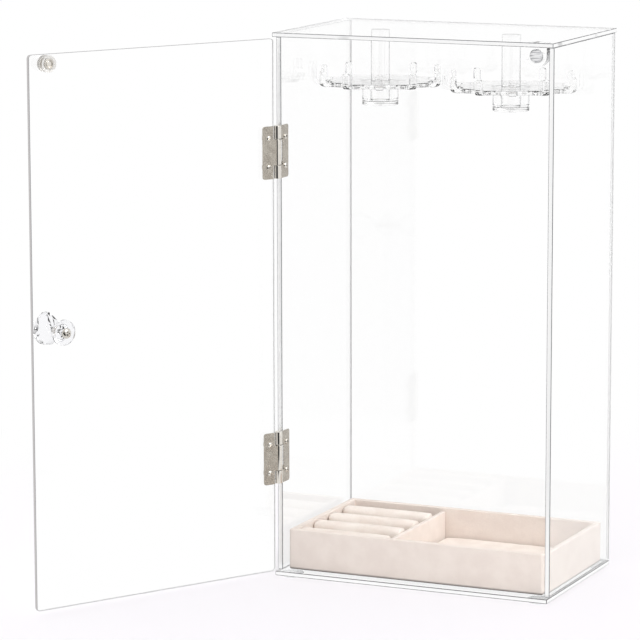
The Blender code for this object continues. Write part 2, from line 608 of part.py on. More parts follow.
def build_tray():
    """The velvet tray that stands on the base plate behind the door."""
    seat = bpy.data.objects.new("tray_seat", None)
    STAND.objects.link(seat)
    seat.location = (0, (TRAY_FRONT_Y + TRAY_BACK_Y) / 2, PLATE_THICKNESS + SEAT_GAP)
    shell_mesh = box_mesh("tray_shell", (TRAY_WIDTH, TRAY_DEPTH, TRAY_HEIGHT), 2, TRAY_CORNER_RADIUS)
    shell = add_piece("tray_shell", shell_mesh, (0, 0, TRAY_HEIGHT / 2), parent=seat)
    inner_width = TRAY_WIDTH - 2 * TRAY_WALL
    inner_depth = TRAY_DEPTH - 2 * TRAY_WALL
    hollow = box_mesh("tray_hollow", (inner_width, inner_depth, TRAY_HEIGHT))
    cut(shell, add_piece("tray_hollow", hollow, (0, 0, TRAY_FLOOR + TRAY_HEIGHT / 2), parent=seat))
    dress(shell, VELVET)
    left = -inner_width / 2
    fill_bottom = TRAY_FLOOR + SEAT_GAP
    fill_height = TRAY_HEIGHT - FILL_DROP - fill_bottom
    fill_z = fill_bottom + fill_height / 2
    divider_x = left + RING_SECTION_LENGTH + DIVIDER_THICKNESS / 2
    divider_size = (DIVIDER_THICKNESS, inner_depth - 2 * SEAT_GAP, fill_height)
    divider = box_mesh("tray_divider", divider_size)
    dress(break_edges(add_piece("tray_divider", divider, (divider_x, 0, fill_z), parent=seat)), VELVET)
    build_rolls(seat, left, inner_depth, fill_height, fill_z)
    pad_left = divider_x + DIVIDER_THICKNESS / 2
    pad_size = (-left - pad_left - 2 * SEAT_GAP, inner_depth - 2 * SEAT_GAP, PAD_THICKNESS)
    pad = box_mesh("tray_pad", pad_size)
    pad_place = ((pad_left - left) / 2, 0, fill_bottom + PAD_THICKNESS / 2)
    dress(break_edges(add_piece("tray_pad", pad, pad_place, parent=seat)), VELVET)


def build_rolls(seat, left, inner_depth, height, z):
    """The ring rolls: foam bars with a rounded top, one slot behind each."""
    pitch = inner_depth / ROLL_COUNT
    depth = pitch - RING_SLOT - SEAT_GAP
    size = (RING_SECTION_LENGTH - 2 * SEAT_GAP, depth, height)
    for number in range(ROLL_COUNT):
        name = f"ring_roll_{number + 1}"
        bm = bmesh.new()
        bmesh.ops.create_cube(bm, size=1.0)
        bmesh.ops.scale(bm, vec=size, verts=bm.verts)
        top_edges = [e for e in bm.edges
                     if all(v.co.z > 0 for v in e.verts) and e.verts[0].co.y * e.verts[1].co.y > 0]
        bmesh.ops.bevel(bm, geom=top_edges, offset=ROLL_ROUNDING, offset_type="OFFSET", segments=CORNER_STEPS,
                        profile=0.5, affect="EDGES", material=-1)
        y = -inner_depth / 2 + SEAT_GAP + number * pitch + depth / 2
        roll = add_piece(name, shade_round(mesh_from(bm, name)), (left + RING_SECTION_LENGTH / 2, y, z), parent=seat)
        dress(roll, VELVET)


def main():
    side_panel = build_case()
    build_feet()
    axis = add_door_axis()
    door = build_door(axis)
    for end, height in HINGE_HEIGHTS.items():
        build_hinge(end, height, axis, door, side_panel)
    build_knob(axis, door)
    build_catch(axis)
    for side, x in (("left", -ROD_OFFSET), ("right", ROD_OFFSET)):
        build_rotor(side, x)
    build_tray()


main()
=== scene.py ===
# %% [markdown]
# # A clear jewelry case that shows on white
# A transparent case has almost no colour of its own, so everything that the eye sees is an edge, a
# reflection or a bent view of the studio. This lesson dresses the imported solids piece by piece: flat
# sheets keep their solids and get a sheet material, and round, moulded, metal and velvet pieces are
# modelled again with more shape, in the same places. All lengths are metres, in the part's own frame.

# %% Load the frame
import json
import math

import bmesh
import bpy
from mathutils import Matrix, Vector

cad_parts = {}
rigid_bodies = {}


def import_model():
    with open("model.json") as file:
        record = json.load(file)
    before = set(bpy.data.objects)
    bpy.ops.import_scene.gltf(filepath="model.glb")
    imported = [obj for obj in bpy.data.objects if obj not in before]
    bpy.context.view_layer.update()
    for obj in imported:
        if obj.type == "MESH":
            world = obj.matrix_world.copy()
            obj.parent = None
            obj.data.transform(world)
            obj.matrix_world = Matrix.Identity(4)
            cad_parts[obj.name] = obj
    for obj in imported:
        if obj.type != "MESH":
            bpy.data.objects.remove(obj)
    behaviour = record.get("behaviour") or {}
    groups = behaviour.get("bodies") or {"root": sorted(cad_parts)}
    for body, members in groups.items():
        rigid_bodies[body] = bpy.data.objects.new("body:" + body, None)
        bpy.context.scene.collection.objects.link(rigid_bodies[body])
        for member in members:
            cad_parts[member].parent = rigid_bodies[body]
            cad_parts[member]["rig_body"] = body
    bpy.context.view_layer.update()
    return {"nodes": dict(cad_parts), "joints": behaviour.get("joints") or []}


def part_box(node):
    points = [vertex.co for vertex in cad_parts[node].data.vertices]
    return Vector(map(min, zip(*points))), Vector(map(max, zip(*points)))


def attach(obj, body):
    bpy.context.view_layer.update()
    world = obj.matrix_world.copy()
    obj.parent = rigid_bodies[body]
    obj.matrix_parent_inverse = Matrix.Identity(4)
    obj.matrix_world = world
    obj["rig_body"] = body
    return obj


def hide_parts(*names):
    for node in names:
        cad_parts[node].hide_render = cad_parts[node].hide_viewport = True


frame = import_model()
MM = 0.001

# %% [markdown]
# Everything that this lesson makes, from the camera to the ring rolls, comes into the scene through one
# function. Shapes are edited as a bmesh, which becomes a mesh when its object is made.

# %% Object helper
def add_object(name, data):
    """A new object in the scene; a bmesh becomes its mesh and is used up."""
    if isinstance(data, bmesh.types.BMesh):
        mesh = bpy.data.meshes.new(name)
        data.to_mesh(mesh)
        data.free()
        data = mesh
    obj = bpy.data.objects.new(name, data)
    bpy.context.scene.collection.objects.link(obj)
    return obj


# %% [markdown]
# The picture is taken from the front right and a little above, with a long lens, so upright edges stay
# almost parallel. A camera could be aimed with a constraint, but a location and three turns are plain
# to read and stay put. The lens follows from a focal length of 3577 pixels over a frame of 640.

# %% Camera
FRAME_PIXELS, FOCAL_PIXELS = 640, 3577.3
camera_data = bpy.data.cameras.new("camera")
camera_data.sensor_width = 36.0
camera_data.lens = FOCAL_PIXELS / FRAME_PIXELS * camera_data.sensor_width
camera_data.clip_end = 50.0
camera = add_object("camera", camera_data)
camera.location = (0.92778, -2.26307, 0.60242)
yaw, pitch, roll = (math.radians(a) for a in (24.31, -9.85, -0.11))
camera.matrix_world = (Matrix.Translation(camera.location) @ Matrix.Rotation(yaw, 4, "Z")
                       @ Matrix.Rotation(math.radians(90) + pitch, 4, "X") @ Matrix.Rotation(roll, 4, "Z"))
bpy.context.scene.camera = camera
print("lens", round(camera_data.lens, 1), "mm")

# %% [markdown]
# Every material below is a small node tree. One function turns the hex colours that people read into
# the linear numbers that shaders use, and one adds a node. In a call of it, the node's settings come
# first, in lower case. Its inputs follow, by name or, as in i0, by number. An input is a value, a socket
# of another node, or another node, which stands for the first output that it has in use.

# %% Colour and node helpers
def linear(hex_colour):
    """A linear colour from an sRGB hex value."""
    channels = [int(hex_colour[i:i + 2], 16) / 255 for i in (1, 3, 5)]
    return (*[c / 12.92 if c <= 0.04045 else ((c + 0.055) / 1.055) ** 2.4 for c in channels], 1.0)


WHITE = linear("#FFFFFF")


def add_node(tree, kind, **values):
    """One shader node with its settings and inputs."""
    node = tree.nodes.new("ShaderNode" + kind)
    for name, value in values.items():
        if hasattr(node, name):
            setattr(node, name, value)
            continue
        socket = node.inputs[int(name[1:]) if name[1:].isdigit() else name.replace("_", " ")]
        if isinstance(value, bpy.types.Node):
            value = next(output for output in value.outputs if output.enabled)
        if isinstance(value, bpy.types.NodeSocket):
            tree.links.new(value, socket)
        else:
            socket.default_value = value
    return node


def new_material(name):
    """An empty material, its tree and the socket that gives the Object coordinates."""
    material = bpy.data.materials.new(name)
    material.use_nodes = True
    material.node_tree.nodes.clear()
    return material, material.node_tree, add_node(material.node_tree, "TexCoord").outputs["Object"]


# %% [markdown]
# The studio is a white room. Mirrors also see a dark end where the photographer stands, because
# polished metal looks like metal only if part of what it mirrors is dark. The camera, and anything seen
# through clear plastic, finds plain white, so that the case stands on white. Light that falls on matt
# surfaces is told apart by its diffuse depth, since it may pass clear plastic on its way. One soft lamp
# from the right models the shapes.

# %% Studio light
LIGHT_LEVEL, DARK_END = 0.98, 0.06
TO_CAMERA = Vector((math.sin(yaw), -math.cos(yaw), 0.0))


def mirrored_room(tree, direction):
    """How bright a mirror finds the room in a direction: dark where the photographer stands."""
    facing = add_node(tree, "VectorMath", operation="DOT_PRODUCT", i0=direction, i1=TO_CAMERA)
    return add_node(tree, "MapRange", interpolation_type="SMOOTHSTEP", Value=facing, From_Min=0.88,
                    From_Max=0.93, To_Min=1.0, To_Max=DARK_END)


world = bpy.data.worlds.new("white_studio")
bpy.context.scene.world = world
world.use_nodes = True
sky = world.node_tree
sky.nodes.clear()
path = add_node(sky, "LightPath").outputs
direction = add_node(sky, "TexCoord").outputs["Generated"]
seen = add_node(sky, "Math", operation="MAXIMUM", i0=path["Is Camera Ray"], i1=path["Is Transmission Ray"])
mirrored = add_node(sky, "Mix", i0=path["Is Glossy Ray"], i2=LIGHT_LEVEL, i3=mirrored_room(sky, direction))
straight = add_node(sky, "Mix", i0=seen, i2=mirrored, i3=1.0)
lighting = add_node(sky, "Math", operation="GREATER_THAN", i0=path["Diffuse Depth"], i1=0.5)
strength = add_node(sky, "Mix", i0=lighting, i2=straight, i3=LIGHT_LEVEL)
glow = add_node(sky, "Background", Color=WHITE, Strength=strength)
add_node(sky, "OutputWorld", Surface=glow)

LAMP_TARGET = Vector((0.0, 0.0, 0.1))
lamp_data = bpy.data.lights.new("key_lamp", "AREA")
lamp_data.size, lamp_data.energy = 1.2, 20.0
lamp = add_object("key_lamp", lamp_data)
lamp.location = (1.6, -0.6, 1.5)
lamp.rotation_euler = (LAMP_TARGET - lamp.location).to_track_quat("-Z", "Y").to_euler()
print("lamp of", lamp_data.energy, "W,", round((LAMP_TARGET - lamp.location).length, 2), "m away")

# %% [markdown]
# The floor is a matt sheet with a glow of its own. Close to the case it takes the soft shadow, and
# further out it fades to plain white, so no horizon shows. The fade is a smooth ring worked out from the
# Object coordinates. Seen through clear plastic the floor is plain white. Mirrors find it white near
# the case and dark on the photographer's side further out, and it lights matt surfaces as white paper.

# %% Floor
bm = bmesh.new()
bmesh.ops.create_circle(bm, cap_ends=True, radius=30.0, segments=64)
bmesh.ops.translate(bm, vec=(0.0, 0.0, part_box("foot_front_left")[0].z), verts=bm.verts)
floor = add_object("floor", bm)
material, tree, place = new_material("pale_floor")
path = add_node(tree, "LightPath").outputs
distance = add_node(tree, "VectorMath", operation="LENGTH", i0=place)
ring = add_node(tree, "MapRange", interpolation_type="SMOOTHSTEP", Value=distance, From_Min=0.22,
                From_Max=0.60)
paper = add_node(tree, "BsdfPrincipled", Base_Color=linear("#99949A"), Roughness=0.9, Emission_Color=WHITE,
                 Emission_Strength=0.595)
white = add_node(tree, "Emission", Color=WHITE, Strength=1.0)
shown = add_node(tree, "MixShader", i0=ring, i1=paper, i2=white)
outward = add_node(tree, "VectorMath", operation="NORMALIZE", i0=place)
near = add_node(tree, "MapRange", Value=distance, From_Min=0.33, From_Max=0.40, To_Min=1.0, To_Max=0.0)
mirrored = add_node(tree, "Math", operation="MAXIMUM", i0=near, i1=mirrored_room(tree, outward))
mirrored = add_node(tree, "Emission", Strength=mirrored)
plain = add_node(tree, "BsdfDiffuse", Color=linear("#F0F0F2"))
surface = add_node(tree, "MixShader", i0=path["Is Glossy Ray"], i1=plain, i2=mirrored)
surface = add_node(tree, "MixShader", i0=path["Is Transmission Ray"], i1=surface, i2=white)
lighting = add_node(tree, "Math", operation="GREATER_THAN", i0=path["Diffuse Depth"], i1=0.5)
surface = add_node(tree, "MixShader", i0=lighting, i1=surface, i2=plain)
surface = add_node(tree, "MixShader", i0=path["Is Camera Ray"], i1=surface, i2=shown)
add_node(tree, "OutputMaterial", Surface=surface)
floor.data.materials.append(material)
print("floor at height", round(floor.data.vertices[0].co.z, 4))

# %% [markdown]
# Each new piece is a bmesh that becomes one object, with its place in its mesh. It stands for one packed
# solid, so it takes its body and the start of its name from it. The door was modelled shut and turned
# open, so its pieces are made in the shut door's frame, where everything is square, and turned. Beside a
# bevel, a broad flat face would shade like a pillow. The weighted normals keep it flat.

# %% Piece helpers
MERGE, HAIR = 0.001 * MM, 0.01 * MM
hinge_joint = next(joint for joint in frame["joints"] if joint["name"] == "door_hinge")
AXIS = Vector((*hinge_joint["pos_m"][:2], 0.0))
DOOR_OPEN = math.radians(hinge_joint["range_deg"][1])
door_turn = Matrix.Translation(AXIS) @ Matrix.Rotation(-DOOR_OPEN, 4, "Z") @ Matrix.Translation(-AXIS)
print("door stands", round(math.degrees(DOOR_OPEN)), "degrees open about", [round(v, 4) for v in AXIS])


def on_door(node):
    """Whether a solid swings with the door."""
    return frame["nodes"][node]["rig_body"] == "door"


def square_box(node):
    """Corners of a solid's box, with the door turned shut for a solid that is on it."""
    if not on_door(node):
        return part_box(node)
    turn_shut = door_turn.inverted()
    points = [turn_shut @ vertex.co for vertex in frame["nodes"][node].data.vertices]
    return [Vector([end(p[i] for p in points) for i in range(3)]) for end in (min, max)]


def move(bm, matrix):
    """Put all points of a bmesh through a matrix."""
    bmesh.ops.transform(bm, matrix=matrix, verts=bm.verts)


def finish_piece(node, look, bm, *materials, at=Matrix.Identity(4), sharp=35.0):
    """Make the bmesh a piece at a place, which rides with its solid's body and stands for it."""
    move(bm, at)
    if on_door(node):
        move(bm, door_turn)
    obj = add_object(f"{node}_{look}", bm)
    obj.data.shade_smooth()
    obj.data.set_sharp_from_angle(angle=math.radians(sharp))
    for material in materials:
        obj.data.materials.append(material)
    obj.modifiers.new("flat_faces_stay_flat", "WEIGHTED_NORMAL").keep_sharp = True
    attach(obj, frame["nodes"][node]["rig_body"])
    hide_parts(node)
    return obj


# %% [markdown]
# The shapes come from a few bmesh tools: a turned outline, a box, a rod, rounded edges, faces drawn out
# along a line, and exact booleans that join and cut.

# %% Shape helpers
def turned(outline, steps=64):
    """A bmesh turned about Z from (radius, height) points."""
    bm = bmesh.new()
    verts = [bm.verts.new((radius, 0.0, height)) for radius, height in outline]
    edges = [bm.edges.new(pair) for pair in zip(verts, verts[1:])]
    bmesh.ops.spin(bm, geom=verts + edges, axis=(0, 0, 1), cent=(0, 0, 0), angle=math.tau, steps=steps,
                   use_merge=True)
    bmesh.ops.remove_doubles(bm, verts=bm.verts, dist=MERGE)
    bmesh.ops.recalc_face_normals(bm, faces=bm.faces)
    return bm


def block(size, centre):
    """A box as a bmesh."""
    bm = bmesh.new()
    bmesh.ops.create_cube(bm, size=1.0, matrix=Matrix.Translation(centre) @ Matrix.Diagonal((*size, 1.0)))
    return bm


def rod(radius, length, at=Matrix.Identity(4), steps=64):
    """A closed cylinder along the matrix's own Z, centred on its place."""
    bm = bmesh.new()
    bmesh.ops.create_cone(bm, cap_ends=True, segments=steps, radius1=radius, radius2=radius, depth=length,
                          matrix=at)
    return bm


def point_to(direction, place):
    """The matrix that lays local Z along a direction at a place."""
    return Matrix.Translation(place) @ Vector(direction).to_track_quat("Z", "Y").to_matrix().to_4x4()


def sharp_edges(bm, degrees=40.0):
    """Edges whose two faces meet at more than an angle."""
    return [e for e in bm.edges if len(e.link_faces) == 2 and e.calc_face_angle() > math.radians(degrees)]


def run(edge, axis):
    """How far an edge runs along X, Y or Z, which are 0, 1 and 2."""
    return abs(edge.verts[0].co[axis] - edge.verts[1].co[axis])


def round_edges(bm, radius, segments=3, edges=None):
    """Bevel edges round: the sharp ones unless others are given."""
    bmesh.ops.bevel(bm, geom=sharp_edges(bm) if edges is None else edges, offset=radius, offset_type="OFFSET",
                    segments=segments, profile=0.5, affect="EDGES", material=-1, clamp_overlap=True)


def only(geometry, kind):
    """The points or the faces among what an operator gives back."""
    return [item for item in geometry if isinstance(item, kind)]


def draw_out(bm, faces, vector):
    """Extrude faces along a vector and give back the new faces."""
    new = bmesh.ops.extrude_face_region(bm, geom=faces)["geom"]
    bmesh.ops.translate(bm, vec=vector, verts=only(new, bmesh.types.BMVert))
    return only(new, bmesh.types.BMFace)


def shape_with(base, changes):
    """Join or cut a bmesh with others by exact booleans and give back the result."""
    body = add_object("scratch", base)
    others = []
    for operation, bm in changes:
        others.append(add_object("scratch", bm))
        modifier = body.modifiers.new("change", "BOOLEAN")
        modifier.operation, modifier.solver, modifier.object = operation, "EXACT", others[-1]
    bpy.context.view_layer.update()
    result = bmesh.new()
    result.from_mesh(body.evaluated_get(bpy.context.evaluated_depsgraph_get()).to_mesh())
    for obj in (body, *others):
        bpy.data.objects.remove(obj, do_unlink=True)
    bmesh.ops.remove_doubles(result, verts=result.verts, dist=MERGE)
    return result


# %% [markdown]
# Cast acrylic sheet is as clear as glass: looking through it the eye sees nothing but the wall behind.
# What shows is the rim. The polished edge face is bright, because light that runs inside the sheet comes
# out there, and each corner of it shows as a fine grey line, which is painted here as grey shade. So the
# shader is clear only on the broad faces. How deep a point lies inside the sheet's own box gives a mask,
# which makes the narrow faces a bright satin mirror with painted grey lines at its corners. Seen from
# inside the sheet the same face gets a darker painted grey shade. The top plate's rim gets painted dark
# patches from a slow noise, which stand for places where a sheet bends the view to something dark.
# A rim that is itself seen in a mirror stays white. At the low angle of the picture, the 1.49 of acrylic
# would mirror the room over both plates, where the real ones let the rods show, so their IOR is lower.

# %% Acrylic sheet material
EDGE_LINE, RIM_REACH, RIM_ROUGHNESS = 0.42 * MM, 0.15 * MM, 0.3
PATCH = 34 * MM
PLATE_PAINTED_INSIDE_SHADE, PLATE_IOR = "#5F5E62", 1.06


def clear_surface(tree, shader):
    """Let lamp light pass clear plastic, so that what stands behind it is lit, and end the tree."""
    path = add_node(tree, "LightPath")
    pass_on = add_node(tree, "BsdfTransparent", Color=linear("#FAFBFC"))
    both = add_node(tree, "MixShader", i0=path.outputs["Is Shadow Ray"], i1=shader, i2=pass_on)
    add_node(tree, "OutputMaterial", Surface=both)


def acrylic_sheet(node, rim="#FFFFFF", painted_inside_shade="#C6C4C6", lines="#8C8D91", painted_dark_patches=0.0, ior=1.49,
                  corner=1.0 * MM):
    """Clear sheet whose rim gets painted shade: a colour outside, a grey from inside and grey corner lines.
    """
    low, high = square_box(node)
    centre, half = (low + high) / 2, (high - low) / 2
    thin = min(range(3), key=lambda axis: half[axis])
    material, tree, place = new_material(f"cast_acrylic_{node}")
    square = add_node(tree, "VectorRotate", rotation_type="Z_AXIS", Vector=place, Center=AXIS,
                      Angle=DOOR_OPEN if on_door(node) else 0.0)
    from_centre = add_node(tree, "VectorMath", operation="SUBTRACT", i0=square, i1=centre)
    size = add_node(tree, "VectorMath", operation="ABSOLUTE", i0=from_centre)
    depth = add_node(tree, "VectorMath", operation="SUBTRACT", i0=half, i1=size)
    split = add_node(tree, "SeparateXYZ", Vector=depth).outputs
    wide_a, wide_b = (split[axis] for axis in range(3) if axis != thin)
    both = add_node(tree, "CombineXYZ", X=wide_a, Y=wide_b)
    short = add_node(tree, "VectorMath", operation="SUBTRACT", i0=(corner, corner, 0.0), i1=both)
    short = add_node(tree, "VectorMath", operation="MAXIMUM", i0=short, i1=(0.0, 0.0, 0.0))
    reach = add_node(tree, "VectorMath", operation="LENGTH", i0=short)
    to_rim = add_node(tree, "Math", operation="SUBTRACT", i0=corner, i1=reach)
    at_rim = add_node(tree, "Math", operation="LESS_THAN", i0=to_rim, i1=RIM_REACH)
    thinned = add_node(tree, "Math", operation="MULTIPLY", i0=to_rim, i1=EDGE_LINE / RIM_REACH)
    long_corner = add_node(tree, "Math", operation="MAXIMUM", i0=split[thin], i1=thinned)
    short_corner = add_node(tree, "Math", operation="MAXIMUM", i0=wide_a, i1=wide_b)
    to_corner = add_node(tree, "Math", operation="MINIMUM", i0=long_corner, i1=short_corner)
    # Painted shade: a grey line along each corner of the rim.
    line = add_node(tree, "Math", operation="LESS_THAN", i0=to_corner, i1=EDGE_LINE)
    # Painted reflection: dark patches on the rim from a slow noise, where a sheet would bend the view to
    # something dark.
    slow = add_node(tree, "TexNoise", Vector=square, Scale=1 / PATCH, Detail=1.0)
    painted_patch_mask = add_node(tree, "MapRange", interpolation_type="SMOOTHSTEP", Value=slow, From_Min=0.57,
                     From_Max=0.62)
    darker = add_node(tree, "Math", operation="MULTIPLY", i0=painted_patch_mask, i1=painted_dark_patches)
    # Painted shade: the rim seen from inside the sheet takes the darker inside grey.
    inside = add_node(tree, "NewGeometry").outputs["Backfacing"]
    face = add_node(tree, "Mix", data_type="RGBA", Factor=inside, i6=linear(rim), i7=linear(painted_inside_shade))
    grey = add_node(tree, "Mix", data_type="RGBA", Factor=inside, i6=linear(lines), i7=linear("#A6A4A6"))
    edge = add_node(tree, "Mix", data_type="RGBA", Factor=line, i6=face, i7=grey)
    edge = add_node(tree, "Mix", data_type="RGBA", blend_type="MULTIPLY", Factor=darker, i6=edge,
                    i7=linear("#6C6B6F"))
    path = add_node(tree, "LightPath")
    shown = add_node(tree, "Math", operation="SUBTRACT", use_clamp=True, i0=at_rim,
                     i1=path.outputs["Is Glossy Ray"])
    colour = add_node(tree, "Mix", data_type="RGBA", Factor=shown, i6=WHITE, i7=edge)
    satin = add_node(tree, "Math", operation="MULTIPLY", i0=at_rim, i1=RIM_ROUGHNESS)
    shader = add_node(tree, "BsdfPrincipled", Base_Color=colour, IOR=ior, Roughness=satin, Metallic=at_rim,
                      Transmission_Weight=1.0, Specular_IOR_Level=0.15)
    clear_surface(tree, shader)
    return material


# Painted shade per sheet: the plates' rims are a dark grey from inside, the top plate has painted dark
# patches, the base plate's darker corner lines are a painted contact shadow under the tray, and the door's
# rim is a painted grey.
SHEETS = {
    "side_panel_left": {}, "side_panel_right": {}, "back_panel": {},
    "top_plate": {"painted_inside_shade": PLATE_PAINTED_INSIDE_SHADE, "painted_dark_patches": 0.5, "ior": PLATE_IOR},
    "base_plate": {"painted_inside_shade": PLATE_PAINTED_INSIDE_SHADE, "lines": "#69686B", "ior": PLATE_IOR},
    "door_panel": {"rim": "#C4C1C1", "painted_inside_shade": "#7C7B80", "corner": 2.5 * MM},
}
for node, look in SHEETS.items():
    frame["nodes"][node].data.materials[0] = acrylic_sheet(node, **look)
print("clear sheets:", *SHEETS)

# %% [markdown]
# Rods, discs, knob, cup and magnet holder are moulded from the same acrylic as the sheets, but they are
# round, so they bend the view in every direction. Against white such a piece shows a grey outline where
# its walls turn away from the eye. Here that outline is painted shade: Layer Weight paints the plastic's
# colour grey where it is seen at a glancing angle and leaves it clear where it faces the eye. Level faces
# stay clear, because a low view sees all of them at a glancing angle. Moulded faces are never quite flat,
# so a slow noise tilts them a little and keeps the painted grey from looking printed. Thick mouldings
# such as disc, knob and cup would trap light where real ones glow, so their IOR is set lower than the
# 1.49 of acrylic.

# %% Moulded acrylic material
def moulded_acrylic(name, rim="#5E6266", outline=(0.55, 0.85), wave_size=6 * MM, wave_depth=0.06 * MM,
                    haze=0.02, ior=1.40, clear_tops=True, clear="#FFFFFF"):
    """Clear moulded plastic with a painted grey outline where Facing is in `outline`, with waves of a size
    and a depth.
    """
    material, tree, place = new_material(name)
    waves = add_node(tree, "TexNoise", Vector=place, Scale=1 / wave_size, Detail=2.0)
    bump = add_node(tree, "Bump", Strength=1.0, Distance=wave_depth, Height=waves)
    # Painted shade: the outline mask, grey where the surface is seen at a glancing angle.
    glance = add_node(tree, "LayerWeight", Blend=0.5, Normal=bump)
    edge = add_node(tree, "MapRange", interpolation_type="SMOOTHSTEP", Value=glance.outputs["Facing"],
                    From_Min=outline[0], From_Max=outline[1])
    patchy_painted_outline = add_node(tree, "MapRange", Value=waves, From_Min=0.3, From_Max=0.7, To_Min=0.6, To_Max=1.0)
    grey = add_node(tree, "Math", operation="MULTIPLY", i0=edge, i1=patchy_painted_outline)
    if clear_tops:
        tilt = add_node(tree, "NewGeometry").outputs["Normal"]
        level = add_node(tree, "VectorMath", operation="DOT_PRODUCT", i0=tilt, i1=(0.0, 0.0, 1.0))
        level = add_node(tree, "Math", operation="ABSOLUTE", i0=level)
        wall = add_node(tree, "MapRange", Value=level, From_Min=0.6, From_Max=0.9, To_Min=1.0, To_Max=0.0)
        grey = add_node(tree, "Math", operation="MULTIPLY", i0=grey, i1=wall)
    colour = add_node(tree, "Mix", data_type="RGBA", Factor=grey, i6=linear(clear), i7=linear(rim))
    shader = add_node(tree, "BsdfPrincipled", Base_Color=colour, Roughness=haze, IOR=ior,
                      Transmission_Weight=1.0, Normal=bump)
    clear_surface(tree, shader)
    return material


# Painted shade: each moulding's outline colour; rods, caps and the magnet holder get a darker painted grey.
MOULDED = moulded_acrylic("moulded_acrylic_clear")
ROD_ACRYLIC = moulded_acrylic("moulded_acrylic_rod", "#4E5155", (0.45, 0.75), 12 * MM, 0.03 * MM, 0.0, 1.49)
print("mouldings:", MOULDED.name, ROD_ACRYLIC.name)

# %% [markdown]
# Each rotor turns on a clear rod that is glued under the top plate. A rod is a turned shape: a few points
# from its middle to its rim, spun round the Z axis, with the rims rounded so that they catch a line of
# light. The cap glued under it carries the disc. Sizes come from the solids' own boxes.

# %% Rods and their caps
SIDES = ("left", "right")
DIMPLE, DIMPLE_DEEP = 2.2 * MM, 0.5 * MM
ROD_X = {}
for side in SIDES:
    low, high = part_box(f"rod_{side}")
    radius, ROD_X[side] = (high.x - low.x) / 2, (high.x + low.x) / 2
    bm = turned([(0, low.z), (radius, low.z), (radius, high.z), (0, high.z)])
    round_edges(bm, 0.4 * MM)
    to_rod = Matrix.Translation((ROD_X[side], 0, 0))
    finish_piece(f"rod_{side}", "clear", bm, ROD_ACRYLIC, at=to_rod)
    low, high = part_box(f"rod_cap_{side}")
    wide = (high.x - low.x) / 2
    bm = turned([(0, low.z + DIMPLE_DEEP), (DIMPLE, low.z), (wide, low.z), (wide, high.z), (0, high.z)])
    round_edges(bm, 0.5 * MM)
    finish_piece(f"rod_cap_{side}", "clear", bm, ROD_ACRYLIC, at=to_rod)
print("rods", round(radius / MM, 2), "mm in radius at", {side: round(x, 4) for side, x in ROD_X.items()})

# %% [markdown]
# The hook disc is one moulding: a scalloped plate, a hub below it and twelve hooks that run out over the
# lobes of the rim and turn up. The plate starts as a circle whose points are pushed out towards each
# hook. A hook starts as one small rectangle that is extruded outward, spun through a quarter turn for
# the bend, and extruded upward. One hook is copied round, and exact booleans join the moulding.

# %% Hook disc shape
HOOKS, FIRST_HOOK = 12, math.radians(22.5)
DISC_LIFT, PLATE, LOBE, HOOK_OVERHANG = 10.7 * MM, 3.0 * MM, 3.5 * MM, 11.5 * MM
HOOK_WIDE, HOOK_THICK, HOOK_LONG, HOOK_BEND = 5.0 * MM, 2.6 * MM, 15.5 * MM, 1.0 * MM
HUB, HUB_FILLET, BORE = 12.5 * MM, 1.0 * MM, 6.8 * MM
QUARTER = math.radians(90)


def one_hook(tip_radius, height):
    """One hook along +X with its root inside the plate and its tip's corners rounded."""
    bm = bmesh.new()
    bend = HOOK_BEND + HOOK_THICK
    bmesh.ops.create_grid(bm, x_segments=1, y_segments=1, size=0.5)
    bmesh.ops.scale(bm, vec=(HOOK_THICK, HOOK_WIDE, 1.0), verts=bm.verts)
    root = Matrix.Translation((tip_radius - HOOK_LONG, 0, HOOK_THICK / 2))
    move(bm, root @ Matrix.Rotation(QUARTER, 4, "Y"))
    end = draw_out(bm, bm.faces[:], (HOOK_LONG - bend, 0, 0))
    end = bmesh.ops.spin(bm, geom=end, cent=(tip_radius - bend, 0, bend), axis=(0, -1, 0), angle=QUARTER,
                         steps=8)["geom_last"]
    draw_out(bm, only(end, bmesh.types.BMFace), (0, 0, height - bend))
    inside = [f for f in bm.faces if all(len(e.link_faces) > 2 for e in f.edges)]
    bmesh.ops.delete(bm, geom=inside, context="FACES")
    bmesh.ops.recalc_face_normals(bm, faces=bm.faces)
    corners = [e for e in bm.edges if all(v.co.z > height - HAIR for v in e.verts) and run(e, 1) < HAIR]
    round_edges(bm, 1.9 * MM, 6, corners)
    round_edges(bm, 0.35 * MM, 2, sharp_edges(bm, 60))
    return bm


